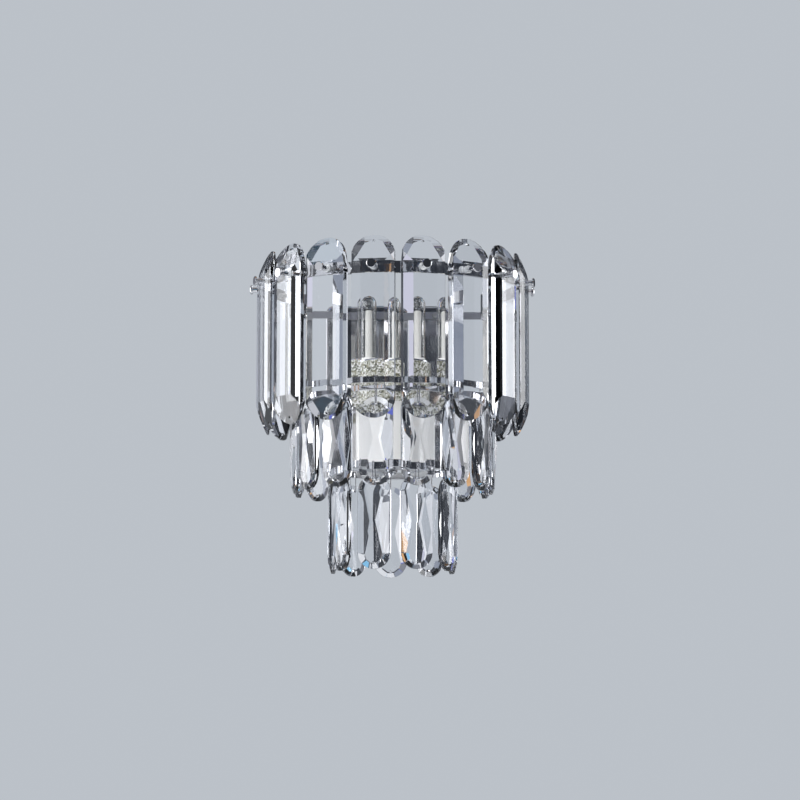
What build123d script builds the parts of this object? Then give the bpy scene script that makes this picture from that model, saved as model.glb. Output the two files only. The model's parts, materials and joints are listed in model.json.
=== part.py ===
from build123d import *
import os
from math import cos, radians, sin

# Crystal wall sconce with three tiers of cut crystals. Millimetres, +Z up.
#
# The origin is the middle of the wall bracket's back face, on the wall. The wall is the plane Y = 0,
# and the light stands out from it towards -Y. Every tier goes round one upright axis, and an angle
# of 0 degrees on it faces straight away from the wall, with positive angles towards +X.

# ---- driving dimensions ----------------------------------------------------------------------

AXIS_Y = -84.0  # the tiers' upright axis, in front of the wall

# Top tier: long crystals with a flat back, held by a screw each
TOP_COUNT = 12
TOP_PITCH = 21.5  # degrees from one crystal to the next
TOP_BACK_RADIUS = 110.0
TOP_WIDTH = 37.0
TOP_LENGTH = 158.0
TOP_THICKNESS = 11.0
TOP_SIDE_WALL = 8.0  # thickness left at the long edges
TOP_TABLE_WIDTH = 20.4  # flat strip down the front
TOP_END_RISE = 14.3  # how far each rounded end stands past the straight sides
TOP_END_BEVEL = 24.0  # length of the sloping facet at each end
TOP_TIP_THICKNESS = 2.3
TOP_MIDDLE_Z = 27.0

# Middle and lower tiers: short crystals that hang, cut alike on both faces
DROP_WIDTH = 29.5
DROP_LENGTH = 82.0
DROP_END_FLAT = 0.2  # what the end arcs lack of a full half circle
DROP_HALF_THICKNESS = 5.25
DROP_EDGE_HALF = 1.5  # half thickness at the long edges
DROP_TIP_HALF = 2.6  # half thickness where the long facets reach the ends
DROP_RIDGE_HALF = 2.6  # half length of the short ridge where the facets meet
DROP_RIM_HALF = 1.0  # half thickness round the rounded ends
DROP_RIM_WIDTH = 4.2  # width of the small facets round the ends
DROP_RIM_ANGLES = (-64, -32, 0, 32, 64)  # degrees from the end's own direction
MIDDLE_COUNT = 12
MIDDLE_PITCH = 23.7
MIDDLE_RADIUS = 87.0  # to the middle of the crystals' thickness
MIDDLE_TOP_Z = -25.0
LOWER_COUNT = 9
LOWER_PITCH = 40.0
LOWER_FIRST_ANGLE = -140.0
LOWER_RADIUS = 53.5
LOWER_TOP_Z = -94.0

END_HOLE_INSET = 5.4  # small drilled hole near each crystal end
END_HOLE_RADIUS = 1.0
HOOK_HOLE_RADIUS = 1.25  # the hole that a wire loop goes through

# Rings
RING_THICKNESS = 2.5
TOP_RING_RADIUS = 108.0  # outer face
TOP_RING_Z = 79.0
TOP_RING_HEIGHT = 10.3
TOP_RING_HALF_ANGLE = 127.0  # the ring is open towards the wall
RING_HOLE_CLEARANCE = 0.1
LIP_HEIGHT = 1.2
LIP_WIDTH = 1.0
RING_TAB_INNER_X = 80.0  # tabs at the ring's ends, for the cross bar
MIDDLE_RING_Z = -16.0
MIDDLE_RING_HEIGHT = 5.2
MIDDLE_RING_HALF_ANGLE = 137.0
COLLAR_THICKNESS = 3.0  # the middle ring's collar round the drum
LOWER_RING_Z = -84.0
LOWER_RING_HEIGHT = 6.0
LOWER_DISC_RADIUS = 12.0
SPOKE_WIDTH = 7.0
SPOKE_THICKNESS = 2.0
SPOKE_ANGLES = (-135, -45, 45, 135)

# Screws that hold the top crystals
SCREW_Z = TOP_RING_Z
SCREW_RADIUS = 1.5
SCREW_CLEARANCE = 0.3
SCREW_TAIL = 1.0  # past the nut
SCREW_SHOULDER_RADIUS = 2.3
SCREW_STANDOFF = 5.0  # from the crystal's front to the underside of the head
SCREW_HEAD_RADIUS = 4.25
SCREW_HEAD_THICKNESS = 2.0
SCREW_HEAD_CHAMFER = 0.6
NUT_THICKNESS = 2.4
NUT_ACROSS_FLATS = 5.5
NUT_GAP = 0.1
WASHER_RADIUS = 3.5

# Wire loops
WIRE_RADIUS = 0.45
LOOP_HALF_DEPTH = 3.6  # from the loop's middle to the centre of either leg
LOOP_CORNER = 1.6

# Drum and its lid
DRUM_RADIUS = 33.0
DRUM_WALL = 1.5
DRUM_FLOOR = 2.0
DRUM_ROUND = 1.0
DRUM_BOTTOM_Z = -81.0
ARM_HOLE_REACH = 6.0  # depth of the arm's hole through the curved wall
LAMP_PLATE_TOP_Z = 11.0
LAMP_PLATE_THICKNESS = 1.5
LAMP_PLATE_ROUND = 0.6
LAMP_PLATE_LIP_HEIGHT = 2.0
LAMP_PLATE_LIP_WALL = 0.9

# Lamps and their holders
LAMP_SPACING = 21.0
HOLDER_RADIUS = 9.0
HOLDER_RIM_RADIUS = 10.0
HOLDER_RIM_HEIGHT = 1.2
HOLDER_RIM_ROUND = 0.5
HOLDER_DEPTH = 16.0  # below the lamp plate's top
SOCKET_RADIUS = 7.2
SOCKET_FLOOR_Z = 4.5
PIN_HALF_SPACING = 4.5
PIN_RADIUS = 0.8
PIN_HOLE_RADIUS = 1.15
PIN_BOTTOM_Z = -3.0
LAMP_BASE_RADIUS = 6.7
LAMP_BASE_BOTTOM_Z = 4.8
LAMP_BASE_TOP_Z = 15.0
LAMP_GLASS_RADIUS = 7.0
LAMP_GLASS_WALL = 1.0
LAMP_TOP_Z = 71.0
LAMP_CORE_RADIUS = 3.2
LAMP_CORE_ROUND = 1.5
LAMP_CORE_TOP_Z = 58.0

# Back plate, arm and bracket
PLATE_WIDTH = 112.0
PLATE_HEIGHT = 148.0
PLATE_DEPTH = 16.0
PLATE_WALL = 1.2
PLATE_CORNER = 8.0
PLATE_EDGE = 2.0
ARM_RADIUS = 7.0
ARM_BORE = 5.0
ARM_IN_DRUM = 2.0  # how far the arm's end stands into the drum
ARM_FLANGE_RADIUS = 12.0
ARM_FLANGE_THICKNESS = 3.0
ARM_FLANGE_CHAMFER = 1.0
BRACKET_LENGTH = 106.0
BRACKET_HEIGHT = 22.0
BRACKET_THICKNESS = 2.0
BRACKET_CORNER = 4.0
SLOT_SPACING = 56.0
SLOT_LENGTH = 12.0
SLOT_WIDTH = 4.5
CABLE_HOLE_RADIUS = 7.0
STUD_X = 46.0
STUD_RADIUS = 2.0
STUD_END = 4.0  # past the plate's front
STUD_CLEARANCE = 0.3
EARTH_X = 39.0

# Cross bar, small screws, bolt and nuts
CROSS_BAR_HALF_LENGTH = 87.0
CROSS_BAR_BOTTOM_Z = 61.5
CROSS_BAR_HEIGHT = 6.5
CROSS_BAR_THICKNESS = 2.5
TAB_SCREW_X = 83.5
BAR_SCREW_X = 40.0
BAR_SCREW_END = 3.0  # past the bar, through the plate
TAB_SCREW_END = 1.0
SMALL_SCREW_RADIUS = 1.4
SMALL_HEAD_RADIUS = 2.7
SMALL_HEAD_THICKNESS = 1.6
SMALL_HEAD_ROUND = 0.8
HEX_HALF_ACROSS = 3.5  # half the width across the flats
BOLT_HEAD_HEIGHT = 2.8
BOLT_END = 5.0  # past the lower ring's disc
CAP_NUT_HEIGHT = 3.4
CAP_NUT_CHAMFER = 0.3
CAP_NUT_BORE = 5.5
CAP_DOME_RADIUS = 3.1
CAP_DOME_Z = 3.2

# Terminal block and inner wires
TERMINAL_TOP_Z = -26.0
TERMINAL_SIZE = (28.0, 11.0, 16.0)
TERMINAL_WAYS = 3
TERMINAL_PITCH = 8.0
TERMINAL_ENTRY_RADIUS = 1.8
TERMINAL_ENTRY_DEPTH = 7.0
TERMINAL_SCREW_RADIUS = 1.9
TERMINAL_SCREW_DEPTH = 4.0
INNER_WIRE_RADIUS = 1.2
INNER_WIRE_X = 2.2
INNER_WIRE_BEND = 5.0
INNER_WIRE_FALL = 11.0  # under the holders
INNER_WIRE_INSET = 12.0  # from the drum's back wall
LINK_BEND = 3.0
LINK_FALL = 6.0
LINK_SHIFT = 5.0  # in front of and behind the axis
LINK_INNER_X = 5.5
LINK_OUTER_INSET = 2.0  # from the outer lamps' middles

FIT = 0.05  # clearance of a fixed piece in its hole
OVERRUN = 1.0  # how far a drill passes a face, and a joined shape reaches into its neighbour
LOW = (Align.CENTER, Align.CENTER, Align.MIN)

parts = {}


# ---- helpers ---------------------------------------------------------------------------------


def on_axis(angle=0.0, z=0.0):
    """Place on the tiers' axis, turned by an angle in degrees."""
    return Pos(0, AXIS_Y, z) * Rot(0, 0, angle)


def spread(count, pitch):
    """Angles of a tier that is even about the front."""
    return [(i - (count - 1) / 2) * pitch for i in range(count)]


def upright_rod(radius, bottom, height):
    """Round bar that stands on a height."""
    return Pos(0, 0, bottom) * Cylinder(radius, height, align=LOW)


def upright_drill(radius, bottom, height):
    """Round cutter that passes both ends of an upright hole."""
    return upright_rod(radius, bottom - OVERRUN, height + 2 * OVERRUN)


def outward_rod(radius, start, length, z=0.0):
    """Round bar that points away from the wall, from a distance in front of the axis."""
    return Pos(0, -start, z) * Rot(90, 0, 0) * Cylinder(radius, length, align=LOW)


def outward_drill(radius, start, length, z=0.0):
    """Round cutter that passes both faces of what it drills away from the wall."""
    return outward_rod(radius, start - OVERRUN, length + 2 * OVERRUN, z)


def rounded_bar(width, length, rise):
    """Upright bar outline with an arc at each end, seen from the front."""
    half = width / 2
    straight = length / 2 - rise
    right = Line((half, -straight), (half, straight))
    top = ThreePointArc((half, straight), (0, length / 2), (-half, straight))
    left = Line((-half, straight), (-half, -straight))
    bottom = ThreePointArc((-half, -straight), (0, -length / 2), (half, -straight))
    return Plane.XZ * make_face([right, top, left, bottom])


def cut_facet(solid, point, normal):
    """Grind one flat facet: what lies beyond the plane goes."""
    return split(solid, bisect_by=Plane(origin=point, z_dir=normal), keep=Keep.BOTTOM)


def band(outer_radius, thickness, height, half_angle=180.0):
    """Flat ring on the axis, open at the back past the half angle."""
    ring = Cylinder(outer_radius, height)
    ring -= Cylinder(outer_radius - thickness, height + 2 * OVERRUN)
    if half_angle >= 180:
        return ring
    reach = 3 * outer_radius
    x = reach * sin(radians(half_angle))
    y = -reach * cos(radians(half_angle))
    gap = make_face(Polyline((0, 0), (x, y), (-x, y), close=True))
    return ring - Pos(0, 0, -height) * extrude(gap, 2 * height)


def solids_of(shapes):
    """Group of separate pieces."""
    return Compound(children=[solid for shape in shapes for solid in shape.solids()])


# ---- top tier --------------------------------------------------------------------------------


def long_crystal():
    """Flat back, a table down the front, side bevels and a sloping facet at each end."""
    body = extrude(rounded_bar(TOP_WIDTH, TOP_LENGTH, TOP_END_RISE), TOP_THICKNESS)
    side_drop = TOP_THICKNESS - TOP_SIDE_WALL
    side_run = (TOP_WIDTH - TOP_TABLE_WIDTH) / 2
    tip_drop = TOP_THICKNESS - TOP_TIP_THICKNESS
    for side in (-1, 1):
        edge = (side * TOP_TABLE_WIDTH / 2, -TOP_THICKNESS, 0)
        body = cut_facet(body, edge, (side * side_drop, -side_run, 0))
        edge = (0, -TOP_THICKNESS, side * (TOP_LENGTH / 2 - TOP_END_BEVEL))
        body = cut_facet(body, edge, (0, -TOP_END_BEVEL, side * tip_drop))
        end_z = side * (TOP_LENGTH / 2 - END_HOLE_INSET)
        body -= outward_drill(END_HOLE_RADIUS, 0, TOP_THICKNESS, end_z)
    screw_hole_radius = SCREW_RADIUS + SCREW_CLEARANCE
    return body - outward_drill(screw_hole_radius, 0, TOP_THICKNESS, SCREW_Z - TOP_MIDDLE_Z)


def ornamental_screw():
    """Shank through ring and crystal, a shoulder in front of the crystal, and a flat round head."""
    front = TOP_BACK_RADIUS + TOP_THICKNESS
    inner_end = TOP_RING_RADIUS - RING_THICKNESS - NUT_THICKNESS - SCREW_TAIL
    shank = outward_rod(SCREW_RADIUS, inner_end, front + OVERRUN - inner_end)
    shoulder = outward_rod(SCREW_SHOULDER_RADIUS, front + FIT, SCREW_STANDOFF)
    head = Cylinder(SCREW_HEAD_RADIUS, SCREW_HEAD_THICKNESS, align=LOW)
    head = chamfer(head.edges().filter_by(GeomType.CIRCLE), SCREW_HEAD_CHAMFER)
    head = Pos(0, -front - FIT - SCREW_STANDOFF, 0) * Rot(90, 0, 0) * head
    return shank + shoulder + head


def ring_washer():
    """Spacer between the ring and a crystal's back."""
    thickness = TOP_BACK_RADIUS - TOP_RING_RADIUS
    disc = outward_rod(WASHER_RADIUS, TOP_RING_RADIUS, thickness)
    return disc - outward_drill(SCREW_RADIUS + FIT, TOP_RING_RADIUS, thickness)


def ring_nut():
    """Hexagonal nut inside the ring."""
    outer_face = TOP_RING_RADIUS - RING_THICKNESS - NUT_GAP
    hexagon = RegularPolygon(NUT_ACROSS_FLATS / 2, 6, major_radius=False)
    nut = extrude(Plane.XZ * hexagon, NUT_THICKNESS)
    nut -= outward_drill(SCREW_RADIUS + FIT, 0, NUT_THICKNESS)
    return Pos(0, NUT_THICKNESS - outer_face, 0) * nut


def top_ring():
    """Tall band with a lip at its foot, screw holes, and a tab at each end for the cross bar."""
    ring = band(TOP_RING_RADIUS, RING_THICKNESS, TOP_RING_HEIGHT, TOP_RING_HALF_ANGLE)
    lip_radius = TOP_RING_RADIUS + LIP_WIDTH
    lip = band(lip_radius, RING_THICKNESS + LIP_WIDTH, LIP_HEIGHT, TOP_RING_HALF_ANGLE)
    ring += Pos(0, 0, (LIP_HEIGHT - TOP_RING_HEIGHT) / 2) * lip
    hole_radius = SCREW_RADIUS + RING_HOLE_CLEARANCE
    hole = outward_drill(hole_radius, TOP_RING_RADIUS - RING_THICKNESS, RING_THICKNESS)
    for angle in spread(TOP_COUNT, TOP_PITCH):
        ring -= Rot(0, 0, angle) * hole
    ring = on_axis(0, TOP_RING_Z) * ring
    tab_width = CROSS_BAR_HALF_LENGTH - RING_TAB_INNER_X
    tab_top = TOP_RING_Z + TOP_RING_HEIGHT / 2
    tab_height = tab_top - CROSS_BAR_BOTTOM_Z
    tab_y = -PLATE_DEPTH - 1.5 * CROSS_BAR_THICKNESS
    bar_middle = CROSS_BAR_BOTTOM_Z + CROSS_BAR_HEIGHT / 2
    for side in (-1, 1):
        place = Pos(side * (RING_TAB_INNER_X + tab_width / 2), tab_y, tab_top - tab_height / 2)
        ring += place * Box(tab_width, CROSS_BAR_THICKNESS, tab_height)
        hole = Pos(side * TAB_SCREW_X, tab_y, bar_middle) * Rot(90, 0, 0)
        ring -= hole * Cylinder(SMALL_SCREW_RADIUS + FIT, 2 * CROSS_BAR_THICKNESS)
    return ring


def cross_bar():
    """Flat bar on the front of the back plate that carries the top ring's ends."""
    middle_z = CROSS_BAR_BOTTOM_Z + CROSS_BAR_HEIGHT / 2
    middle_y = -PLATE_DEPTH - CROSS_BAR_THICKNESS / 2
    size = (2 * CROSS_BAR_HALF_LENGTH, CROSS_BAR_THICKNESS, CROSS_BAR_HEIGHT)
    bar = Pos(0, middle_y, middle_z) * Box(*size)
    for x in (-TAB_SCREW_X, -BAR_SCREW_X, BAR_SCREW_X, TAB_SCREW_X):
        hole = Cylinder(SMALL_SCREW_RADIUS + FIT, 2 * CROSS_BAR_THICKNESS)
        bar -= Pos(x, middle_y, middle_z) * Rot(90, 0, 0) * hole
    return bar


def small_screw(x, z, seat_y, grip):
    """Round-headed screw with its head on a face at seat_y."""
    head = Cylinder(SMALL_HEAD_RADIUS, SMALL_HEAD_THICKNESS, align=LOW)
    head = fillet(head.edges().group_by(Axis.Z)[-1], SMALL_HEAD_ROUND)
    shank = upright_rod(SMALL_SCREW_RADIUS, -grip, grip + SMALL_HEAD_THICKNESS / 2)
    return Pos(x, seat_y, z) * Rot(90, 0, 0) * (head + shank)


def cross_bar_screws():
    """Two screws into the back plate and two into the ring's tabs."""
    z = CROSS_BAR_BOTTOM_Z + CROSS_BAR_HEIGHT / 2
    bar_front = -PLATE_DEPTH - CROSS_BAR_THICKNESS
    tab_front = bar_front - CROSS_BAR_THICKNESS
    bar_grip = CROSS_BAR_THICKNESS + BAR_SCREW_END
    tab_grip = 2 * CROSS_BAR_THICKNESS + TAB_SCREW_END
    screws = []
    for side in (-1, 1):
        screws.append(small_screw(side * BAR_SCREW_X, z, bar_front, bar_grip))
        screws.append(small_screw(side * TAB_SCREW_X, z, tab_front, tab_grip))
    return screws


# ---- hanging tiers ---------------------------------------------------------------------------


def drop_crystal():
    """Thin-edged crystal cut alike on both faces, with small facets round its rounded ends."""
    half_width = DROP_WIDTH / 2
    half_length = DROP_LENGTH / 2
    outline = rounded_bar(DROP_WIDTH, DROP_LENGTH, half_width - DROP_END_FLAT)
    body = Pos(0, DROP_HALF_THICKNESS, 0) * extrude(outline, 2 * DROP_HALF_THICKNESS)
    side_drop = DROP_HALF_THICKNESS - DROP_EDGE_HALF
    side_run = half_width - DROP_RIDGE_HALF
    end_drop = DROP_HALF_THICKNESS - DROP_TIP_HALF
    rim_drop = DROP_TIP_HALF - DROP_RIM_HALF
    for face in (-1, 1):
        for side in (-1, 1):
            ridge_end = (side * DROP_RIDGE_HALF, face * DROP_HALF_THICKNESS, 0)
            body = cut_facet(body, ridge_end, (side * side_drop, face * side_run, 0))
            body = cut_facet(body, ridge_end, (0, face * half_length, side * end_drop))
            centre_z = side * (half_length - half_width)
            for angle in DROP_RIM_ANGLES:
                across = sin(radians(angle))
                along = side * cos(radians(angle))
                rim = (across * half_width, face * DROP_RIM_HALF, centre_z + along * half_width)
                slope = (across * rim_drop, face * DROP_RIM_WIDTH, along * rim_drop)
                body = cut_facet(body, rim, slope)
    depth = 2 * DROP_HALF_THICKNESS
    hole_z = half_length - END_HOLE_INSET
    body -= outward_drill(HOOK_HOLE_RADIUS, -depth / 2, depth, hole_z)
    return body - outward_drill(END_HOLE_RADIUS, -depth / 2, depth, -hole_z)


def wire_loop(top, bottom):
    """Upright closed loop of wire, with rounded corners, between its two ends' heights."""
    outline = RectangleRounded(2 * LOOP_HALF_DEPTH, top - bottom, LOOP_CORNER).wire()
    path = Pos(0, 0, (top + bottom) / 2) * (Plane.YZ * outline)
    start = Plane(origin=path @ 0, z_dir=path % 0)
    return sweep(start * Circle(WIRE_RADIUS), path=path)


def carried_ring(outer_radius, height, half_angle, collar_radii, spoke_z):
    """Band with flat spokes that reach into a collar or a centre disc."""
    ring = band(outer_radius, RING_THICKNESS, height, half_angle)
    start = sum(collar_radii) / 2
    length = outer_radius - RING_THICKNESS / 2 - start
    for angle in SPOKE_ANGLES:
        spoke = Pos(0, -start - length / 2, spoke_z) * Box(SPOKE_WIDTH, length, SPOKE_THICKNESS)
        ring += Rot(0, 0, angle) * spoke
    return ring


def middle_ring():
    """Ring of the middle tier, open at the back, on spokes from a collar round the drum."""
    radius = MIDDLE_RADIUS + RING_THICKNESS / 2
    inner = DRUM_RADIUS + FIT
    outer = inner + COLLAR_THICKNESS
    ring = carried_ring(radius, MIDDLE_RING_HEIGHT, MIDDLE_RING_HALF_ANGLE, (inner, outer), 0)
    ring += band(outer, COLLAR_THICKNESS, MIDDLE_RING_HEIGHT)
    return on_axis(0, MIDDLE_RING_Z) * ring


def lower_ring():
    """Full ring of the lower tier, on spokes from a disc under the drum."""
    radius = LOWER_RADIUS + RING_THICKNESS / 2
    spoke_z = (LOWER_RING_HEIGHT - SPOKE_THICKNESS) / 2
    ring = carried_ring(radius, LOWER_RING_HEIGHT, 180, (0, LOWER_DISC_RADIUS), spoke_z)
    disc_bottom = spoke_z - SPOKE_THICKNESS / 2
    ring += upright_rod(LOWER_DISC_RADIUS, disc_bottom, SPOKE_THICKNESS)
    ring -= upright_drill(STUD_RADIUS + FIT, disc_bottom, SPOKE_THICKNESS)
    return on_axis(0, LOWER_RING_Z) * ring


# ---- drum and lamps --------------------------------------------------------------------------


def hub_drum():
    """Cup that holds the inner wires, with a hole in its back for the arm."""
    top = LAMP_PLATE_TOP_Z - LAMP_PLATE_THICKNESS
    floor = DRUM_BOTTOM_Z + DRUM_FLOOR
    cup = upright_rod(DRUM_RADIUS, DRUM_BOTTOM_Z, top - DRUM_BOTTOM_Z)
    cup = fillet(cup.edges().group_by(Axis.Z)[0], DRUM_ROUND)
    cup -= upright_rod(DRUM_RADIUS - DRUM_WALL, floor, top - floor + OVERRUN)
    cup -= outward_drill(ARM_RADIUS + FIT, -DRUM_RADIUS, ARM_HOLE_REACH)
    cup -= upright_drill(STUD_RADIUS + FIT, DRUM_BOTTOM_Z, DRUM_FLOOR)
    return on_axis() * cup


def lamp_plate():
    """Lid of the drum, with a locating lip and a hole for each lamp holder."""
    bottom = LAMP_PLATE_TOP_Z - LAMP_PLATE_THICKNESS
    lid = upright_rod(DRUM_RADIUS, bottom, LAMP_PLATE_THICKNESS)
    lid = fillet(lid.edges().group_by(Axis.Z)[-1], LAMP_PLATE_ROUND)
    lip_radius = DRUM_RADIUS - DRUM_WALL - 2 * FIT
    lip = upright_rod(lip_radius, bottom - LAMP_PLATE_LIP_HEIGHT, LAMP_PLATE_LIP_HEIGHT)
    lip -= upright_drill(
        lip_radius - LAMP_PLATE_LIP_WALL, bottom - LAMP_PLATE_LIP_HEIGHT, LAMP_PLATE_LIP_HEIGHT
    )
    lid += lip
    for x in (-LAMP_SPACING, 0, LAMP_SPACING):
        lid -= Pos(x, 0, 0) * upright_drill(HOLDER_RADIUS + FIT, bottom, LAMP_PLATE_THICKNESS)
    return on_axis() * lid


def lamp_holder(x):
    """Round holder with a socket for the lamp's base and a hole for each pin."""
    bottom = LAMP_PLATE_TOP_Z - HOLDER_DEPTH
    body = upright_rod(HOLDER_RADIUS, bottom, HOLDER_DEPTH)
    rim = upright_rod(HOLDER_RIM_RADIUS, LAMP_PLATE_TOP_Z, HOLDER_RIM_HEIGHT)
    body += fillet(rim.edges().group_by(Axis.Z)[-1], HOLDER_RIM_ROUND)
    body -= upright_rod(SOCKET_RADIUS, SOCKET_FLOOR_Z, HOLDER_DEPTH)
    hole = upright_drill(PIN_HOLE_RADIUS, PIN_BOTTOM_Z, SOCKET_FLOOR_Z - PIN_BOTTOM_Z)
    for side in (-1, 1):
        body -= Pos(side * PIN_HALF_SPACING, 0, 0) * hole
    return on_axis() * Pos(x, 0, 0) * body


def lamp_base(x):
    """Lamp base with its two pins and the light column that stands in the glass."""
    base = upright_rod(LAMP_BASE_RADIUS, LAMP_BASE_BOTTOM_Z, LAMP_BASE_TOP_Z - LAMP_BASE_BOTTOM_Z)
    foot = LAMP_BASE_TOP_Z - OVERRUN
    column = upright_rod(LAMP_CORE_RADIUS, foot, LAMP_CORE_TOP_Z - foot)
    base += fillet(column.edges().group_by(Axis.Z)[-1], LAMP_CORE_ROUND)
    pin = upright_rod(PIN_RADIUS, PIN_BOTTOM_Z, LAMP_BASE_BOTTOM_Z - PIN_BOTTOM_Z + OVERRUN)
    for side in (-1, 1):
        base += Pos(side * PIN_HALF_SPACING, 0, 0) * pin
    return on_axis() * Pos(x, 0, 0) * base


def lamp_glass(x):
    """Clear tube with a domed top, open below where it stands on the base."""
    inner = LAMP_GLASS_RADIUS - LAMP_GLASS_WALL
    straight = LAMP_TOP_Z - LAMP_GLASS_RADIUS - LAMP_BASE_TOP_Z
    tube = Cylinder(LAMP_GLASS_RADIUS, straight, align=LOW)
    hollow = Cylinder(inner, straight, align=LOW)
    tube += Pos(0, 0, straight) * Sphere(LAMP_GLASS_RADIUS)
    hollow += Pos(0, 0, straight) * Sphere(inner)
    keep = Cylinder(2 * LAMP_GLASS_RADIUS, LAMP_TOP_Z, align=LOW)
    return on_axis() * Pos(x, 0, LAMP_BASE_TOP_Z) * ((tube - hollow) & keep)


def centre_bolt():
    """Bolt through the drum's floor and the lower ring's disc, with its head inside the drum."""
    floor = DRUM_BOTTOM_Z + DRUM_FLOOR
    end = DRUM_BOTTOM_Z - SPOKE_THICKNESS - BOLT_END
    head = extrude(RegularPolygon(HEX_HALF_ACROSS, 6, major_radius=False), BOLT_HEAD_HEIGHT)
    bolt = Pos(0, 0, floor) * head
    bolt += upright_rod(STUD_RADIUS, end, floor + OVERRUN - end)
    return on_axis() * bolt


def dome_nut():
    """Hexagonal nut with a domed cap, its open face down at the origin and its dome upwards."""
    nut = extrude(RegularPolygon(HEX_HALF_ACROSS, 6, major_radius=False), CAP_NUT_HEIGHT)
    nut = chamfer(nut.edges().group_by(Axis.Z)[-1], CAP_NUT_CHAMFER)
    dome = Sphere(CAP_DOME_RADIUS) & Cylinder(2 * CAP_DOME_RADIUS, CAP_DOME_RADIUS, align=LOW)
    nut += Pos(0, 0, CAP_DOME_Z) * dome
    return nut - upright_rod(STUD_RADIUS + FIT, -OVERRUN, CAP_NUT_BORE + OVERRUN)


def dome_nuts():
    """Two nuts on the bracket's studs and one under the lower ring."""
    nuts = [Pos(side * STUD_X, -PLATE_DEPTH, 0) * Rot(90, 0, 0) * dome_nut() for side in (-1, 1)]
    under = DRUM_BOTTOM_Z - SPOKE_THICKNESS
    nuts.append(on_axis() * Pos(0, 0, under) * Rot(180, 0, 0) * dome_nut())
    return nuts


# ---- wall side -------------------------------------------------------------------------------


def back_plate():
    """Shallow tray that stands on the wall by its rim, with its open side to the wall."""
    outline = RectangleRounded(PLATE_WIDTH, PLATE_HEIGHT, PLATE_CORNER)
    tray = extrude(Plane.XZ * outline, PLATE_DEPTH)
    tray = fillet(tray.edges().group_by(Axis.Y)[0], PLATE_EDGE)
    inner_width = PLATE_WIDTH - 2 * PLATE_WALL
    inner_height = PLATE_HEIGHT - 2 * PLATE_WALL
    inside = RectangleRounded(inner_width, inner_height, PLATE_CORNER - PLATE_WALL)
    hollow = extrude(Plane.XZ * inside, PLATE_DEPTH - PLATE_WALL)
    hollow = fillet(hollow.edges().group_by(Axis.Y)[0], PLATE_EDGE - PLATE_WALL)
    tray -= hollow
    tray -= outward_drill(ARM_RADIUS + FIT, 0, PLATE_DEPTH)
    bar_z = CROSS_BAR_BOTTOM_Z + CROSS_BAR_HEIGHT / 2
    stud_hole = outward_drill(STUD_RADIUS + STUD_CLEARANCE, 0, PLATE_DEPTH)
    screw_hole = outward_drill(SMALL_SCREW_RADIUS + FIT, 0, PLATE_DEPTH)
    for side in (-1, 1):
        tray -= Pos(side * STUD_X, 0, 0) * stud_hole
        tray -= Pos(side * BAR_SCREW_X, 0, bar_z) * screw_hole
    return tray


def wall_bracket():
    """Steel strip on the wall, with slots for the wall screws, a cable hole and two studs."""
    strip = RectangleRounded(BRACKET_LENGTH, BRACKET_HEIGHT, BRACKET_CORNER)
    bracket = extrude(Plane.XZ * strip, BRACKET_THICKNESS)
    slot = extrude(Plane.XZ * SlotOverall(SLOT_LENGTH, SLOT_WIDTH), BRACKET_THICKNESS + 2 * OVERRUN)
    bracket -= outward_drill(CABLE_HOLE_RADIUS, 0, BRACKET_THICKNESS)
    bracket -= Pos(EARTH_X, 0, 0) * outward_drill(SMALL_SCREW_RADIUS + FIT, 0, BRACKET_THICKNESS)
    stud_start = BRACKET_THICKNESS - OVERRUN
    stud = outward_rod(STUD_RADIUS, stud_start, PLATE_DEPTH + STUD_END - stud_start)
    for side in (-1, 1):
        bracket -= Pos(side * SLOT_SPACING / 2, OVERRUN, 0) * slot
        bracket += Pos(side * STUD_X, 0, 0) * stud
    return bracket


def support_arm():
    """Tube that carries the drum from the back plate, with a flange on the plate."""
    inner_end = PLATE_DEPTH - PLATE_WALL
    length = -AXIS_Y - DRUM_RADIUS + ARM_IN_DRUM - inner_end
    arm = outward_rod(ARM_RADIUS, inner_end, length)
    flange = outward_rod(ARM_FLANGE_RADIUS, PLATE_DEPTH, ARM_FLANGE_THICKNESS)
    arm += chamfer(flange.edges().group_by(Axis.Y)[0], ARM_FLANGE_CHAMFER)
    return arm - outward_drill(ARM_BORE, inner_end, length)


def terminal_block():
    """Three-way block on the inside of the back plate."""
    width, depth, height = TERMINAL_SIZE
    back = -PLATE_DEPTH + PLATE_WALL
    middle_y = back + depth / 2
    bottom = TERMINAL_TOP_Z - height
    block = Pos(0, middle_y, bottom + height / 2) * Box(width, depth, height)
    entry = upright_rod(TERMINAL_ENTRY_RADIUS, bottom - OVERRUN, TERMINAL_ENTRY_DEPTH + OVERRUN)
    screw_hole = outward_rod(
        TERMINAL_SCREW_RADIUS, -OVERRUN, TERMINAL_SCREW_DEPTH + OVERRUN, bottom + height / 2
    )
    for way in range(TERMINAL_WAYS):
        x = (way - (TERMINAL_WAYS - 1) / 2) * TERMINAL_PITCH
        block -= Pos(x, middle_y, 0) * entry
        block -= Pos(x, back + depth, 0) * screw_hole
    return block


def inner_wire(points, bend):
    """Insulated wire along straight runs and arcs."""
    path = FilletPolyline(*points, radius=bend)
    start = Plane(origin=path @ 0, z_dir=path % 0)
    return sweep(start * Circle(INNER_WIRE_RADIUS), path=path)


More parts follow.
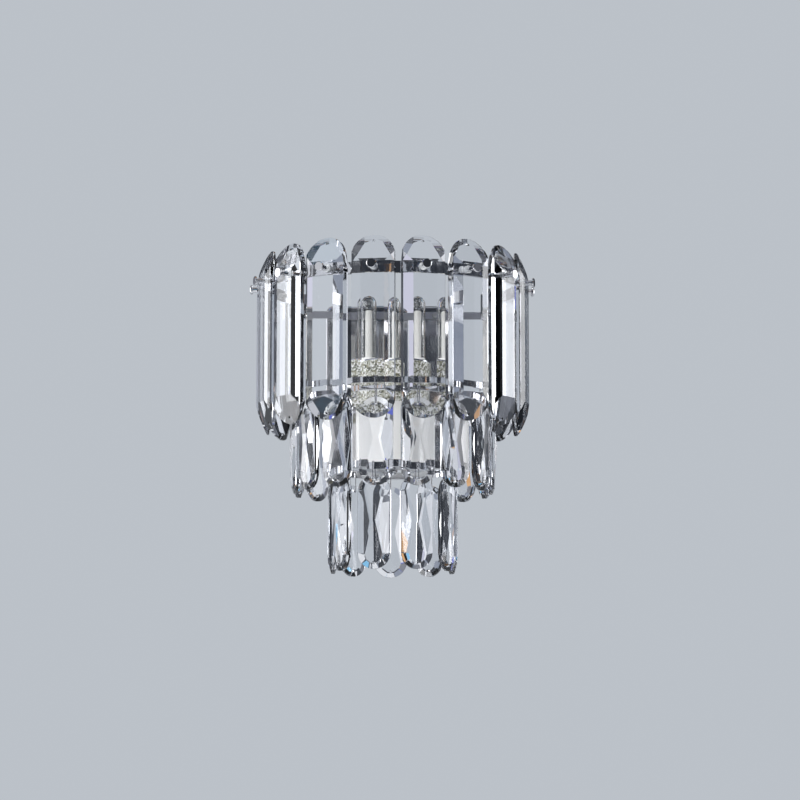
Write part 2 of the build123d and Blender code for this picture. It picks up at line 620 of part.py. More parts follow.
def inner_wires():
    """Two wires from the terminal block through the arm to the holders, and the links between."""
    start_y = -PLATE_DEPTH + PLATE_WALL + TERMINAL_SIZE[1] / 2
    down_y = AXIS_Y + DRUM_RADIUS - DRUM_WALL - INNER_WIRE_INSET
    holder_bottom = LAMP_PLATE_TOP_Z - HOLDER_DEPTH
    low_z = holder_bottom - INNER_WIRE_FALL
    link_z = holder_bottom - LINK_FALL
    wires = []
    for side in (-1, 1):
        x = side * INNER_WIRE_X
        points = [
            (x, start_y, TERMINAL_TOP_Z),
            (x, start_y, 0),
            (x, down_y, 0),
            (x, down_y, low_z),
            (x, AXIS_Y, low_z),
            (x, AXIS_Y, holder_bottom),
        ]
        wires.append(inner_wire(points, INNER_WIRE_BEND))
        for shift in (-LINK_SHIFT, LINK_SHIFT):
            inner_x = side * LINK_INNER_X
            outer_x = side * (LAMP_SPACING - LINK_OUTER_INSET)
            y = AXIS_Y + shift
            link = [(inner_x, y, holder_bottom), (inner_x, y, link_z)]
            link += [(outer_x, y, link_z), (outer_x, y, holder_bottom)]
            wires.append(inner_wire(link, LINK_BEND))
    return wires


# ---- assembly --------------------------------------------------------------------------------


def add_top_tier():
    """Twelve crystals round the top ring, with what holds them."""
    crystal = Pos(0, -TOP_BACK_RADIUS, 0) * long_crystal()
    angles = spread(TOP_COUNT, TOP_PITCH)
    for number, angle in enumerate(angles, 1):
        parts[f"top_crystal_{number:02d}"] = on_axis(angle, TOP_MIDDLE_Z) * crystal
    places = [on_axis(angle, SCREW_Z) for angle in angles]
    parts["top_ring"] = top_ring()
    parts["cross_bar"] = cross_bar()
    parts["cross_bar_screws"] = solids_of(cross_bar_screws())
    for name, piece in (
        ("ornament_screws", ornamental_screw()),
        ("ring_washers", ring_washer()),
        ("ring_nuts", ring_nut()),
    ):
        parts[name] = solids_of([place * piece for place in places])


def add_hanging_tier(name, angles, radius, top_z, ring_z, ring_height):
    """Crystals that hang from a ring, with a wire loop each."""
    crystal = drop_crystal()
    hole_z = top_z - END_HOLE_INSET
    loop = wire_loop(ring_z + ring_height / 2 + WIRE_RADIUS, hole_z)
    loops = []
    for number, angle in enumerate(angles, 1):
        middle = Pos(0, -radius, top_z - DROP_LENGTH / 2)
        parts[f"{name}_crystal_{number:02d}"] = on_axis(angle) * middle * crystal
        loops.append(on_axis(angle) * Pos(0, -radius, 0) * loop)
    parts[f"{name}_loops"] = solids_of(loops)


def add_lamps():
    """Three lamps in a row, each of a base and a glass, in their holders."""
    places = {"left": -LAMP_SPACING, "middle": 0.0, "right": LAMP_SPACING}
    parts["lamp_holders"] = solids_of([lamp_holder(x) for x in places.values()])
    for name, x in places.items():
        parts[f"lamp_{name}_base"] = lamp_base(x)
        parts[f"lamp_{name}_glass"] = lamp_glass(x)


add_top_tier()
parts["middle_ring"] = middle_ring()
middle_angles = spread(MIDDLE_COUNT, MIDDLE_PITCH)
add_hanging_tier(
    "middle", middle_angles, MIDDLE_RADIUS, MIDDLE_TOP_Z, MIDDLE_RING_Z, MIDDLE_RING_HEIGHT
)
parts["lower_ring"] = lower_ring()
lower_angles = [LOWER_FIRST_ANGLE + number * LOWER_PITCH for number in range(LOWER_COUNT)]
add_hanging_tier(
    "lower", lower_angles, LOWER_RADIUS, LOWER_TOP_Z, LOWER_RING_Z, LOWER_RING_HEIGHT
)
parts["hub_drum"] = hub_drum()
parts["lamp_plate"] = lamp_plate()
add_lamps()
parts["centre_bolt"] = centre_bolt()
parts["dome_nuts"] = solids_of(dome_nuts())
parts["back_plate"] = back_plate()
parts["wall_bracket"] = wall_bracket()
parts["support_arm"] = support_arm()
parts["terminal_block"] = terminal_block()
parts["earth_screw"] = small_screw(EARTH_X, 0, -BRACKET_THICKNESS, BRACKET_THICKNESS)
parts["inner_wires"] = solids_of(inner_wires())

os.makedirs("parts", exist_ok=True)
for node, shape in parts.items():
    export_step(shape, f"parts/{node}.step")
print(len(parts), "sub-parts")
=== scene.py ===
# %% [markdown]
# # A crystal wall light, dressed for the camera
#
# The metalwork, the lamps and all thirty-three crystals come from the packed model at their real
# sizes, in metres. This lesson adds what that model can't hold: the finish of every surface, the
# small things that make the pieces look made, a studio, and a camera at the picture's own angle.

# %% Load the packed model
import bpy
import bmesh
import json
from math import cos, pi, radians, sin
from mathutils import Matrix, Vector


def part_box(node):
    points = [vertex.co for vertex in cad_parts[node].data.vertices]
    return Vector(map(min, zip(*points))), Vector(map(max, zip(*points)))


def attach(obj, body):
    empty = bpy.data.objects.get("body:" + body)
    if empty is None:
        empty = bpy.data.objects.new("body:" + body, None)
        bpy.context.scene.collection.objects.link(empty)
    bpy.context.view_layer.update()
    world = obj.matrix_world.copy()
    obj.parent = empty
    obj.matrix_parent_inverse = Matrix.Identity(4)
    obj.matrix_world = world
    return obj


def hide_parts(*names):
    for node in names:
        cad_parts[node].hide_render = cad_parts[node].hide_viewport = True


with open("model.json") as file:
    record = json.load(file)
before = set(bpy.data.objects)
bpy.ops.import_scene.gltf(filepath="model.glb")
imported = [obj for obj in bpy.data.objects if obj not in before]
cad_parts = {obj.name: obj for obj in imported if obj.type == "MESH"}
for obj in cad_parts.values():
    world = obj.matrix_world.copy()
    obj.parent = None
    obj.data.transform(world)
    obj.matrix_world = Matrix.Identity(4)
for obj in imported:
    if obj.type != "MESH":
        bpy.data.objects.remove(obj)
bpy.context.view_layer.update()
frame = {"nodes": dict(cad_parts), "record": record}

# %% [markdown]
# ## Reading the places of things
#
# The three tiers go round one upright axis. Its distance from the wall could be typed in again, but
# it is safer to read it from the lamp in the middle, which stands right on it.

# %% Axis of the tiers
lamp_low, lamp_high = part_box("lamp_middle_glass")
axis_y = (lamp_low.y + lamp_high.y) / 2
print("axis of the tiers at y =", round(axis_y, 4))

# %% [markdown]
# ## Where the picture was taken from
#
# It was taken through a long lens, from below the light and a little to its left. A long lens keeps
# the uprights parallel, so the camera stands more than two and a half metres away. Its place and its
# turn were fitted to the screw heads on the top ring, whose real places are known.

# %% Camera
CAMERA_PLACE = (-0.1054, -2.6618, -0.372)
CAMERA_LENS = 131.8  # mm, on a sensor 36 mm wide
CAMERA_RIGHT = 2.48  # degrees, the turn to the right of the wall's own direction
CAMERA_UP = 7.73  # degrees, the tilt above the horizon
CAMERA_REACH = (0.05, 60)  # metres to the nearest and the farthest thing it can see

camera_data = bpy.data.cameras.new("camera")
camera_data.lens = CAMERA_LENS
camera_data.clip_start, camera_data.clip_end = CAMERA_REACH
camera = bpy.data.objects.new("camera", camera_data)
camera.location = CAMERA_PLACE
camera.rotation_euler = (radians(90 + CAMERA_UP), 0, radians(-CAMERA_RIGHT))
scene = bpy.context.scene
scene.collection.objects.link(camera)
scene.camera = camera
scene.view_settings.view_transform = "Standard"
print("camera", round((camera.location - Vector((0, axis_y, 0))).length, 2), "m from the light")

# %% [markdown]
# ## Writing a material as arithmetic
#
# A material in Blender is a graph of nodes. Wiring it by hand hides the idea behind the wires, so a
# small class stands for one socket and turns Python's own operators into Math nodes: `1 - mask`
# then reads as it would on paper.

# %% A socket that can be calculated with
class Value:
    """A number that varies over a surface."""

    def __init__(self, finish, socket):
        self.finish = finish
        self.socket = socket

    def maths(self, operation, *inputs):
        return self.finish.node("Math", {"operation": operation}, dict(enumerate(inputs)))

    def __add__(self, other):
        return self.maths("ADD", self, other)

    def __sub__(self, other):
        return self.maths("SUBTRACT", self, other)

    def __rsub__(self, other):
        return self.maths("SUBTRACT", other, self)

    def __mul__(self, other):
        return self.maths("MULTIPLY", self, other)

    def __pow__(self, other):
        return self.maths("POWER", self, other)

    def __rpow__(self, other):
        return self.maths("POWER", other, self)

    __radd__ = __add__
    __rmul__ = __mul__


print("a socket now takes + - * and **, on either side of a number")

# %% [markdown]
# Everything that isn't plain arithmetic goes through one method, which takes the kind of node, its
# settings, and what its sockets get. The other methods are short names for what most finishes need:
# soft noise, a mix of two colours, a little relief.

# %% A finish and its nodes
MIX_FIRST, MIX_SECOND, MIX_RESULT = 6, 7, 2  # a Mix node's colour sockets, after those for numbers


class Finish:
    """A material under construction."""

    def __init__(self, name, tree=None):
        self.material = None
        if tree is None:
            self.material = bpy.data.materials.new(name)
            self.material.use_nodes = True
            tree = self.material.node_tree
        self.tree = tree
        tree.nodes.clear()

    def node(self, kind, settings=(), sockets=(), out=0):
        """Adds a node: its settings first, then the values or links of its sockets."""
        made = self.tree.nodes.new("ShaderNode" + kind)
        for name, value in dict(settings).items():
            if name == "stops":
                self.set_stops(made.color_ramp, value)
            else:
                setattr(made, name, value)
        for name, value in dict(sockets).items():
            if isinstance(value, Value):
                self.tree.links.new(value.socket, made.inputs[name])
            else:
                made.inputs[name].default_value = value
        return Value(self, made.outputs[out]) if len(made.outputs) else made

    def set_stops(self, ramp, stops):
        """Steps of even colour, without a blend between them."""
        ramp.interpolation = "CONSTANT"
        while len(ramp.elements) < len(stops):
            ramp.elements.new(1.0)
        for element, (place, colour) in zip(ramp.elements, stops):
            element.position = place
            element.color = (*colour, 1)

    def place(self):
        """Position on the piece, in metres."""
        return self.node("TexCoord", out="Object")

    def part(self, vector, letter):
        """One of a vector's three numbers."""
        return self.node("SeparateXYZ", {}, {0: vector}, out=letter)

    def noise(self, scale, detail=2.0, stretch=(1, 1, 1)):
        """Soft noise from 0 to 1, so many waves to the metre."""
        where = self.node("Mapping", {}, {"Vector": self.place(), "Scale": stretch})
        return self.node("TexNoise", {}, {"Vector": where, "Scale": scale, "Detail": detail})

    def between(self, factor, first, second):
        """Mix of two colours."""
        sockets = {"Factor": factor, MIX_FIRST: first, MIX_SECOND: second}
        return self.node("Mix", {"data_type": "RGBA"}, sockets, out=MIX_RESULT)

    def relief(self, height, depth):
        """Bumps of a height from 0 to 1, so many metres deep, as a new normal."""
        return self.node("Bump", {}, {"Height": height, "Distance": depth, "Strength": 1.0})

    def surface(self, shader):
        """Ends the material at this shader."""
        self.node("OutputMaterial", {}, {"Surface": shader})
        return self.material


print("a finish can have:", [name for name in vars(Finish) if not name.startswith("_")])

# %% [markdown]
# ## A plain studio
#
# Clear crystal has no look of its own: it only bends what stands round it. So the studio for it is
# made of broad fields round the horizon: pale backdrop wherever a camera may look straight through
# the crystals, and between those fields white screens and gaps into the dark room. A long bevel
# bends the view sideways and shows one field from end to end. Strips of coloured gel at some of the
# screens' edges stand for the colours into which real cut crystal parts white light.

# %% Backdrop and fields
BACKDROP = (0.50, 0.535, 0.58)
FILL = (0.40, 0.41, 0.43)  # what matt surfaces receive
ROOM = (0.035, 0.04, 0.05)
SCREEN = (0.78, 0.80, 0.84)
DIM = (0.20, 0.21, 0.24)
STEEL = (0.28, 0.31, 0.38)
LILAC = (0.62, 0.62, 0.74)
VIOLET = (0.13, 0.16, 0.60)
CYAN = (0.25, 0.60, 0.90)
AMBER = (0.75, 0.42, 0.18)
GELS = (LILAC, VIOLET, CYAN, AMBER)

# each field starts at this many degrees to the right of straight behind the light
fields = [
    (-180, ROOM), (-150, AMBER), (-147, SCREEN), (-110, ROOM), (-100, BACKDROP), (-80, SCREEN),
    (-51, BACKDROP), (-38, DIM), (-33, SCREEN), (-25, VIOLET), (-20.5, SCREEN), (-19.5, CYAN),
    (-17.2, SCREEN), (-16.2, AMBER), (-15.4, STEEL), (-12, BACKDROP), (14, LILAC), (18, STEEL),
    (20, ROOM), (27, SCREEN), (33, AMBER), (36, ROOM), (66, DIM), (75, ROOM), (120, BACKDROP),
    (150, ROOM),
]
# the same, for what stands higher up than a camera would look
overhead = [
    (-180, ROOM), (-128, DIM), (-118, SCREEN), (-112, ROOM), (-96, DIM), (-80, ROOM),
    (-60, SCREEN), (-40, DIM), (-19, VIOLET), (-17, STEEL), (-12, ROOM), (9, DIM), (14, CYAN),
    (16, SCREEN), (20, AMBER), (21, SCREEN), (30, DIM), (45, ROOM), (60, SCREEN), (75, DIM),
    (100, ROOM), (112, DIM), (125, ROOM),
]
# mirrors see one large white screen on the left, and the dark room behind the camera
mirrored = [
    (-180, ROOM), (-136, SCREEN), (-104, DIM), (-100, SCREEN), (-60, DIM), (-20, BACKDROP),
    (20, ROOM), (60, SCREEN), (72, ROOM), (110, DIM), (120, ROOM),
]
print("fields:", len(fields), "at the height of a camera,", len(overhead), "overhead,",
      len(mirrored), "for mirrors")

# %% [markdown]
# ## One world for each kind of ray
#
# A world may answer each kind of ray in its own way. The camera gets the plain backdrop, matt
# surfaces an even fill, mirrors their screens, and rays that crystal has bent get the fields. Near
# the top the sky is broken into cells, and each takes one tone by chance: they make the small sparks
# in the cut ends, which send rays steeply up.

# %% Air
SPARKS = 9  # cells from the middle of the sky to its rim
SPARKS_FROM = 0.5  # sine of the height at which they start
OVERHEAD_FROM = 0.24  # sine of the height at which the overhead list takes over
GELS_FROM = 0.118  # sine of the height of the gels' lower edge
SPARK_TONES = [
    (0, ROOM), (0.56, DIM), (0.64, SCREEN), (0.86, AMBER), (0.9, VIOLET), (0.94, CYAN), (0.97, ROOM),
]

world = bpy.data.worlds.new("studio")
world.use_nodes = True
scene.world = world
air = Finish("air", world.node_tree)
heading = air.node("TexCoord", out="Generated")
aside, ahead, height = (air.part(heading, letter) for letter in "XYZ")
# once round from 0 to 1, with straight behind the light in the middle
turn = ahead.maths("ARCTAN2", aside, ahead) * (1 / (2 * pi)) + 0.5


def round_the_horizon(zones):
    """Fields as steps of colour round the whole horizon."""
    stops = [(degrees / 360 + 0.5, colour) for degrees, colour in zones]
    return air.node("ValToRGB", {"stops": stops}, {"Fac": turn})


chance = air.part(air.node("TexVoronoi", {}, {"Vector": heading, "Scale": SPARKS}, out="Color"), "X")
sparks = air.node("ValToRGB", {"stops": SPARK_TONES}, {"Fac": chance})
high_up = height.maths("GREATER_THAN", height, SPARKS_FROM)
overhead_too = height.maths("GREATER_THAN", height, OVERHEAD_FROM)
at_the_gels = height.maths("GREATER_THAN", height, GELS_FROM)
uncoloured = [(degrees, SCREEN if colour in GELS else colour) for degrees, colour in fields]
standing = air.between(at_the_gels, round_the_horizon(uncoloured), round_the_horizon(fields))
standing = air.between(overhead_too, standing, round_the_horizon(overhead))
through_glass = air.between(high_up, standing, sparks)
in_mirrors = air.between(overhead_too, round_the_horizon(mirrored), sparks)
glossy = air.node("LightPath", out="Is Glossy Ray")
refracted = air.node("LightPath", out="Is Transmission Ray")
to_camera = air.node("LightPath", out="Is Camera Ray")
lit = air.between(refracted, air.between(glossy, (*FILL, 1), in_mirrors), through_glass)
seen = air.between(to_camera, lit, (*BACKDROP, 1))
air.node("OutputWorld", {}, {"Surface": air.node("Background", {}, {"Color": seen, "Strength": 1.0})})
print("world of", len(air.tree.nodes), "nodes")

# %% [markdown]
# ## Soft boxes
#
# Four soft boxes light the piece. The large one to the upper left lights all that is matt, and so
# does the one in front, on the left: it is there for the lamp columns and the drum. Neither shows in
# metal or crystal, where it would burn out to white. A tall narrow one behind on the left does show,
# as the bright line down each bevel, and a weak one keeps the right side from going flat.

# %% Soft boxes
SOFT_BOXES = [
    # name, place, width, height, watts, and whether metal and crystal show it
    ("key_box", (-2.1, -1.1, 0.9), 1.6, 2.4, 42, False),
    ("front_box", (-0.9, -2.4, 0.2), 1.0, 1.0, 46, False),
    ("edge_box", (-1.7, 0.5, 0.1), 0.5, 2.0, 10, True),
    ("right_box", (1.9, 0.5, 0.4), 0.5, 1.4, 7, True),
]


def soft_box(name, place, across, upright, watts, shown):
    """Rectangular lamp that faces the crystals."""
    data = bpy.data.lights.new(name, "AREA")
    data.shape = "RECTANGLE"
    data.size = across
    data.size_y = upright
    data.energy = watts
    lamp = bpy.data.objects.new(name, data)
    lamp.location = place
    aim = Vector((0, axis_y, 0)) - Vector(place)
    lamp.rotation_euler = aim.to_track_quat("-Z", "Y").to_euler()
    lamp.visible_glossy = lamp.visible_transmission = shown
    scene.collection.objects.link(lamp)


for row in SOFT_BOXES:
    soft_box(*row)
print(len(SOFT_BOXES), "soft boxes in place")

# %% [markdown]
# ## The floor
#
# A wall light hangs at the height of a head, so the floor is a long way down. It is a plain pale
# sheet, large enough to reach the horizon from every side. The camera sees half of its paleness as
# its own, so that it matches the backdrop without more light on the crystals. A ray that comes
# through crystal passes the floor and meets the same backdrop below the horizon as above it.

# %% Floor
FLOOR_Z = -1.6
FLOOR_HALF = 30.0
FLOOR_CORNERS = ((-1, -1), (1, -1), (1, 1), (-1, 1))
PAPER = (0.84, 0.87, 0.90)
OWN_PALENESS = 0.5

floor_mesh = bpy.data.meshes.new("floor")
corners = [(x * FLOOR_HALF, y * FLOOR_HALF, FLOOR_Z) for x, y in FLOOR_CORNERS]
floor_mesh.from_pydata(corners, [], [(0, 1, 2, 3)])
floor = bpy.data.objects.new("floor", floor_mesh)
scene.collection.objects.link(floor)
paper = Finish("paper")
matt = paper.node("BsdfDiffuse", {}, {"Color": (*PAPER, 1)})
own = paper.node("Emission", {}, {"Color": (*BACKDROP, 1)})
own_share = paper.node("LightPath", out="Is Camera Ray") * OWN_PALENESS
pale = paper.node("MixShader", {}, {0: own_share, 1: matt, 2: own})
open_air = paper.node("BsdfTransparent")
bent = paper.node("LightPath", out="Is Transmission Ray")
sheet = paper.node("MixShader", {}, {0: bent, 1: pale, 2: open_air})
floor_mesh.materials.append(paper.surface(sheet))
print("floor at", FLOOR_Z)

# %% [markdown]
# ## Cut crystal
#
# Lead crystal bends light more than window glass does, so its index is higher. Light also has to
# reach the lamps inside: shadow rays stop at glass, so for them alone the crystal turns see-through.
# Fingers leave a faint film on it, and the polishing wheel leaves faint waves, so neither the
# roughness nor the normal is quite even. The waves are drawn out upright, as the wheel runs.

# %% Crystal
CRYSTAL_TINT = (0.985, 0.99, 1)
CRYSTAL_SHADE = (0.98, 0.985, 0.99)  # what a shadow ray keeps at each surface
CRYSTAL_INDEX = 1.56
FILM = 60  # clouds of it to the metre
FILM_ROUGHNESS = 0.01
WAVES = 90  # to the metre
WAVE_STRETCH = (1, 1, 0.3)
WAVE_DEPTH = 0.00001

finishes = {}


def passing_light(finish, glass, shade):
    """Glass that shadow rays pass."""
    clear = finish.node("BsdfTransparent", {}, {"Color": (*shade, 1)})
    shadow = finish.node("LightPath", out="Is Shadow Ray")
    return finish.surface(finish.node("MixShader", {}, {0: shadow, 1: glass, 2: clear}))


def crystal():
    """Clear, with a film that is rough in few places only, hence the third power."""
    finish = Finish("crystal")
    film = finish.noise(FILM, detail=3.0)
    sockets = {
        "Color": (*CRYSTAL_TINT, 1),
        "Roughness": film ** 3 * FILM_ROUGHNESS,
        "IOR": CRYSTAL_INDEX,
        "Normal": finish.relief(finish.noise(WAVES, stretch=WAVE_STRETCH), WAVE_DEPTH),
    }
    return passing_light(finish, finish.node("BsdfGlass", {}, sockets), CRYSTAL_SHADE)


finishes["crystal"] = crystal()
print("finishes:", list(finishes))

# %% [markdown]
# ## Facets behind the ends
#
# Behind each rounded end of a long crystal the back is cut away in slanting facets. Each bends the
# view its own way, so the ends glitter where the long bevels are calm. A facet could be drawn with
# its corners, but the wheel's own way is shorter: take a plane, drop what lies past it, and close
# the cut. The planes start from the round end's own circle, which is measured on the piece.

# %% Facets
# degrees round the end, depth off the back at the rim, reach inwards in metres
END_FACETS = ((-60, 0.0030, 0.0065), (60, 0.0024, 0.0065), (-24, 0.0013, 0.0055), (22, 0.0010, 0.0045))
SHOULDER = 0.98  # share of the half width at which the long sides begin


def slice_off(work, point, normal):
    """Cuts a flat facet: what lies past the plane goes, and the cut is closed."""
    everything = work.verts[:] + work.edges[:] + work.faces[:]
    made = bmesh.ops.bisect_plane(
        work, geom=everything, plane_co=point, plane_no=normal, clear_outer=True
    )
    rim = [item for item in made["geom_cut"] if isinstance(item, bmesh.types.BMEdge)]
    bmesh.ops.triangle_fill(work, edges=rim, use_beauty=True, use_dissolve=False)


def end_facets(work):
    """Slanting facets on the back of both ends of a long crystal."""
    middle = sum((v.co for v in work.verts), Vector()) / len(work.verts)
    out = Vector((middle.x, middle.y - axis_y, 0)).normalized()
    side = Vector((-out.y, out.x, 0))
    axis = Vector((0, axis_y, 0))
    back = min((v.co - axis).dot(out) for v in work.verts)
    half_width = max(abs((v.co - axis).dot(side)) for v in work.verts)
    straight = SHOULDER * half_width
    for up in (1, -1):  # the upper end, then the lower one
        tip = max(v.co.z * up for v in work.verts)
        shoulder = max(v.co.z * up for v in work.verts if abs((v.co - axis).dot(side)) > straight)
        rise = tip - shoulder
        radius = (half_width ** 2 + rise ** 2) / (2 * rise)
        centre = axis + Vector((0, 0, (tip - radius) * up))
        for turned, depth, reach in END_FACETS:
            away = side * sin(radians(turned)) + Vector((0, 0, up * cos(radians(turned))))
            rim = centre + away * radius + out * (back + depth)
            slice_off(work, rim, (away * depth - out * reach).normalized())


print(len(END_FACETS), "facets for each end")

# %% [markdown]
# ## Polished edges
#
# The model's crystals have razor edges. Polishing leaves a fine line along each, and in the picture
# those lines are the brightest part of many crystals. So each crystal is cut again here: the facets
# are joined back into flat faces, every edge between them is bevelled, and the faces are shaded
# flat, because one smooth shade across two facets would make pebbles of them.

# %% Cut every crystal again
EDGE_WIDTH = 0.00045  # at most: the shortest edges, round the drilled holes, hold the bevels back
SHORTEST_EDGE = 0.00006  # a shorter one would stop the bevels from growing at all
SAME_POINT = 1e-6
FLAT_TURN = radians(0.5)  # faces that turn less than this lie in one plane
FACET_TURN = radians(4)  # and those that turn less than this are one facet


def cut_again(node_name, body):
    """Crystal with a narrow bevel along every sharp edge, in place of the model's own."""
    work = bmesh.new()
    work.from_mesh(frame["nodes"][node_name].data)
    bmesh.ops.remove_doubles(work, verts=work.verts, dist=SAME_POINT)
    if node_name.startswith("top_crystal"):
        end_facets(work)
    bmesh.ops.dissolve_limit(
        work, angle_limit=FLAT_TURN, verts=work.verts, edges=work.edges, delimit={"NORMAL"}
    )
    bmesh.ops.dissolve_degenerate(work, edges=work.edges, dist=SHORTEST_EDGE)
    sharp = [e for e in work.edges if len(e.link_faces) == 2 and e.calc_face_angle(0) > FACET_TURN]
    bmesh.ops.bevel(
        work, geom=sharp, offset=EDGE_WIDTH, segments=1, affect="EDGES", clamp_overlap=True
    )
    bmesh.ops.dissolve_degenerate(work, edges=work.edges, dist=SAME_POINT)
    for face in work.faces:
        face.smooth = False
    mesh = bpy.data.meshes.new("cut_" + node_name)
    work.to_mesh(mesh)
    work.free()
    mesh.materials.append(finishes["crystal"])
    piece = bpy.data.objects.new("cut_" + node_name, mesh)
    scene.collection.objects.link(piece)
    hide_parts(node_name)
    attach(piece, body)
    return piece


cut = []
for body, members in frame["record"]["behaviour"]["bodies"].items():
    cut += [cut_again(member, body) for member in members if "_crystal_" in member]
print(len(cut), "crystals cut,", sum(len(piece.data.polygons) for piece in cut), "faces")

# %% [markdown]
# ## Polished and plated metal
#
# Every metal piece is plated brass or steel. What tells one plating from another is how dark it is
# and how sharp its reflections are, so one function makes them all: a metal whose roughness wanders
# a little with finger marks, over the faint waves that polishing leaves.

# %% Metals
METALS = {
    # colour, least roughness, how much the marks add to it, depth of the waves in metres
    "polished_metal": ((0.80, 0.80, 0.82), 0.03, 0.08, 0.00001),
    "screw_metal": ((0.70, 0.70, 0.72), 0.03, 0.05, 0.00001),
    "dark_metal": ((0.60, 0.61, 0.64), 0.38, 0.15, 0.00002),
    "plated_steel": ((0.62, 0.62, 0.60), 0.22, 0.2, 0.00003),
    "wire": ((0.70, 0.70, 0.72), 0.12, 0.1, 0.00001),
}
MARKS = 35  # to the metre
FINE_WAVES = 900  # to the metre
DULLED = 0.82  # share of the colour that is left where the metal is dullest


def metal(name, colour, polish, marks, depth):
    """Metal with finger marks and fine waves."""
    finish = Finish(name)
    cloud = finish.noise(MARKS, detail=4.0)
    darker = tuple(DULLED * c for c in colour)
    sockets = {
        "Base Color": finish.between(cloud, (*darker, 1), (*colour, 1)),
        "Metallic": 1.0,
        "Roughness": cloud * marks + polish,
        "Normal": finish.relief(finish.noise(FINE_WAVES), depth),
    }
    return finish.surface(finish.node("BsdfPrincipled", {}, sockets))


for name, row in METALS.items():
    finishes[name] = metal(name, *row)
print("finishes:", list(finishes))

# %% [markdown]
# ## The drum under the lamps
#
# The drum in the middle is satin white metal, and its upper part, down to below the middle ring, is
# beaded with grains, and over them glitter is painted: painted glints and reflections in olive, grey
# and near black. Voronoi cells are a quick way to make grains. Each cell takes one painted tone by
# chance, and the distance to its middle raises it like a bead.

# %% Drum with grains and painted glints
GRAINS = 850  # to the metre
GRAINS_FROM = -0.027  # height at which the plain part ends
GRAIN_HEIGHT = 0.0003
SATIN = (0.93, 0.92, 0.90)
SATIN_METALLIC = 0.35
SATIN_ROUGHNESS = 0.32
SATIN_MARKS = 0.1  # what finger marks add to it
# painted glints: these tones stand for light glittering off the grains, not for the drum's own colour
PAINTED_GLINT_TONES = [
    (0, (0.10, 0.10, 0.07)), (0.25, (0.34, 0.33, 0.24)), (0.5, (0.58, 0.58, 0.52)), (0.8, SATIN),
]


def granulated():
    """Satin white, with grains and painted glints above a certain height."""
    finish = Finish("granulated")
    where = finish.place()
    level = finish.part(where, "Z")
    above = level.maths("GREATER_THAN", level, GRAINS_FROM)
    cells = {"Vector": where, "Scale": GRAINS}
    chance = finish.part(finish.node("TexVoronoi", {}, cells, out="Color"), "X")
    # painted glints: each cell takes one of the painted glitter tones by chance, in the Base Color
    painted_glint_tone = finish.node("ValToRGB", {"stops": PAINTED_GLINT_TONES}, {"Fac": chance})
    from_middle = finish.node("TexVoronoi", {}, cells, out="Distance")
    sockets = {
        "Base Color": finish.between(above, (*SATIN, 1), painted_glint_tone),
        "Metallic": SATIN_METALLIC,
        "Roughness": finish.noise(MARKS, detail=4.0) * SATIN_MARKS + SATIN_ROUGHNESS,
        "Normal": finish.relief((1 - from_middle) * above, GRAIN_HEIGHT),
    }
    return finish.surface(finish.node("BsdfPrincipled", {}, sockets))


own_finishes = {"hub_drum": granulated()}
print("finishes for one piece only:", list(own_finishes))

# %% [markdown]
# ## Lamps
#
# A capsule lamp is a thin clear tube over a white column. The tube is ordinary glass, a little
# uneven where it was drawn, and lets shadow rays pass as the crystal does.

# %% Lamp glass
LAMP_TINT = (0.97, 0.97, 0.96)
LAMP_SHADE = (0.98, 0.98, 0.98)
LAMP_INDEX = 1.47
LAMP_ROUGHNESS = 0.02
RIPPLES = 300  # to the metre
RIPPLE_DEPTH = 0.00004


def lamp_glass():
    """Clear tube with faint ripples."""
    finish = Finish("lamp_glass")
    sockets = {
        "Color": (*LAMP_TINT, 1),
        "Roughness": LAMP_ROUGHNESS,
        "IOR": LAMP_INDEX,
        "Normal": finish.relief(finish.noise(RIPPLES, detail=3.0), RIPPLE_DEPTH),
    }
    return passing_light(finish, finish.node("BsdfGlass", {}, sockets), LAMP_SHADE)


finishes["lamp_glass"] = lamp_glass()
print("finishes:", list(finishes))

# %% [markdown]
# ## Glaze and plastics
#
# The lamp columns and their holders are glazed, and the small parts inside are moulded. All of them
# have two near tones and a fine texture, and the shinier ones have a clear coat on top.

# %% Glaze and plastics
MOULDED = {
    # colour, how much darker its second tone is, roughness, texture to the metre, its depth, coat
    "lamp_ceramic": ((0.93, 0.92, 0.90), 0.05, 0.2, 700, 0.00003, 0.5),
    "clear_plastic": ((0.82, 0.84, 0.86), 0.05, 0.15, 500, 0.00002, 0.6),
    "terminal_plastic": ((0.80, 0.79, 0.74), 0.1, 0.4, 900, 0.00004, 0.0),
    "wire_sleeve": ((0.05, 0.12, 0.35), 0.2, 0.35, 900, 0.00003, 0.0),
}
CLOUDS = 80  # to the metre
CLOUD_ROUGHNESS = 0.15  # what a cloud adds


def moulded(name, colour, spread, roughness, texture, depth, coat):
    """Glazed or moulded surface."""
    finish = Finish(name)
    cloud = finish.noise(CLOUDS, detail=3.0)
    second = tuple(c * (1 - spread) for c in colour)
    sockets = {
        "Base Color": finish.between(cloud, (*colour, 1), (*second, 1)),
        "Roughness": cloud * CLOUD_ROUGHNESS + roughness,
        "Coat Weight": coat,
        "Normal": finish.relief(finish.noise(texture), depth),
    }
    return finish.surface(finish.node("BsdfPrincipled", {}, sockets))


for name, row in MOULDED.items():
    finishes[name] = moulded(name, *row)
print("finishes:", list(finishes))

# %% [markdown]
# ## Glittering lamp tips
#
# The top of each lamp, over the white column, glitters in the picture. It is pinched and pressed
# glass, so a small ball of it is made here with uneven facets: the rings of a lathe-turned drop, each
# turned a little against the one below, so that no two facets look the same way.

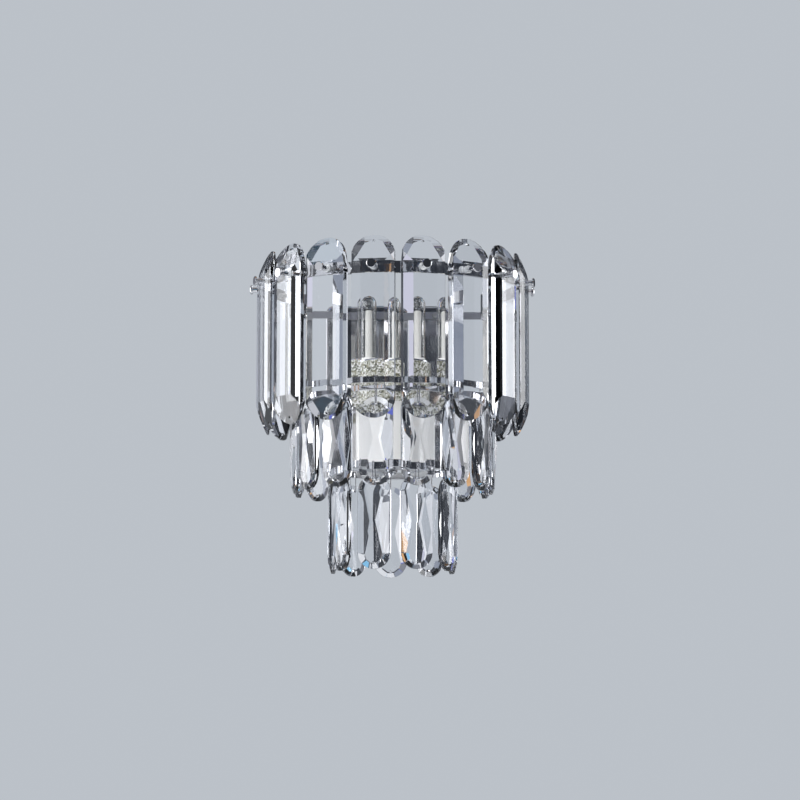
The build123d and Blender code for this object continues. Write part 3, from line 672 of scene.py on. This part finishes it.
# %% Lamp tips
TIP_RINGS = 6
TIP_SIDES = 9
TIP_RADIUS = 0.0044
TIP_FOOT = 0.0004  # gap over the column
TIP_HEAD = 0.0022  # gap under the end of the tube
TIP_START, TIP_SPAN = 0.15, 0.72  # part of a half circle that the drop's outline follows
TIP_WAIST = 0.8  # every other ring is so much narrower
TIP_TWIST = 0.37  # of a side, from one ring to the next


def lamp_tip(name):
    """Faceted drop of glass between the lamp's column and the end of its tube."""
    column_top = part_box(f"lamp_{name}_base")[1].z
    tube_low, tube_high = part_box(f"lamp_{name}_glass")
    middle = (tube_low + tube_high) / 2
    low, high = column_top + TIP_FOOT, tube_high.z - TIP_HEAD
    work = bmesh.new()
    rings = []
    for level in range(TIP_RINGS):
        share = (level + 0.5) / TIP_RINGS
        waist = 1.0 if level % 2 else TIP_WAIST
        radius = TIP_RADIUS * sin(pi * (TIP_START + TIP_SPAN * share)) * waist
        z = low + (high - low) * share
        ring = []
        for side in range(TIP_SIDES):
            angle = 2 * pi * (side + TIP_TWIST * level) / TIP_SIDES
            x, y = middle.x + radius * cos(angle), middle.y + radius * sin(angle)
            ring.append(work.verts.new((x, y, z)))
        rings.append(ring)
    for below, above in zip(rings, rings[1:]):
        for side in range(TIP_SIDES):
            after = (side + 1) % TIP_SIDES
            work.faces.new((below[side], below[after], above[side]))
            work.faces.new((below[after], above[after], above[side]))
    work.faces.new(reversed(rings[0]))
    work.faces.new(rings[-1])
    mesh = bpy.data.meshes.new(f"lamp_{name}_tip")
    work.to_mesh(mesh)
    work.free()
    mesh.materials.append(finishes["crystal"])
    tip = bpy.data.objects.new(f"lamp_{name}_tip", mesh)
    scene.collection.objects.link(tip)
    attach(tip, f"lamp_{name}")
    return tip


tips = [lamp_tip(name) for name in ("left", "middle", "right")]
print(len(tips), "lamp tips of", len(tips[0].data.polygons), "facets")

# %% [markdown]
# ## Giving each piece its finish
#
# The record names a material slot for every piece of the model, and the finishes above carry the
# same names, so one loop dresses them all. A piece with a finish of its own gets that.

# %% Dress every piece
for entry in frame["record"]["subparts"]:
    mesh = frame["nodes"][entry["node"]].data
    mesh.materials.clear()
    mesh.materials.append(own_finishes.get(entry["node"], finishes[entry["material_slot"]]))

# %% [markdown]
# ## The end
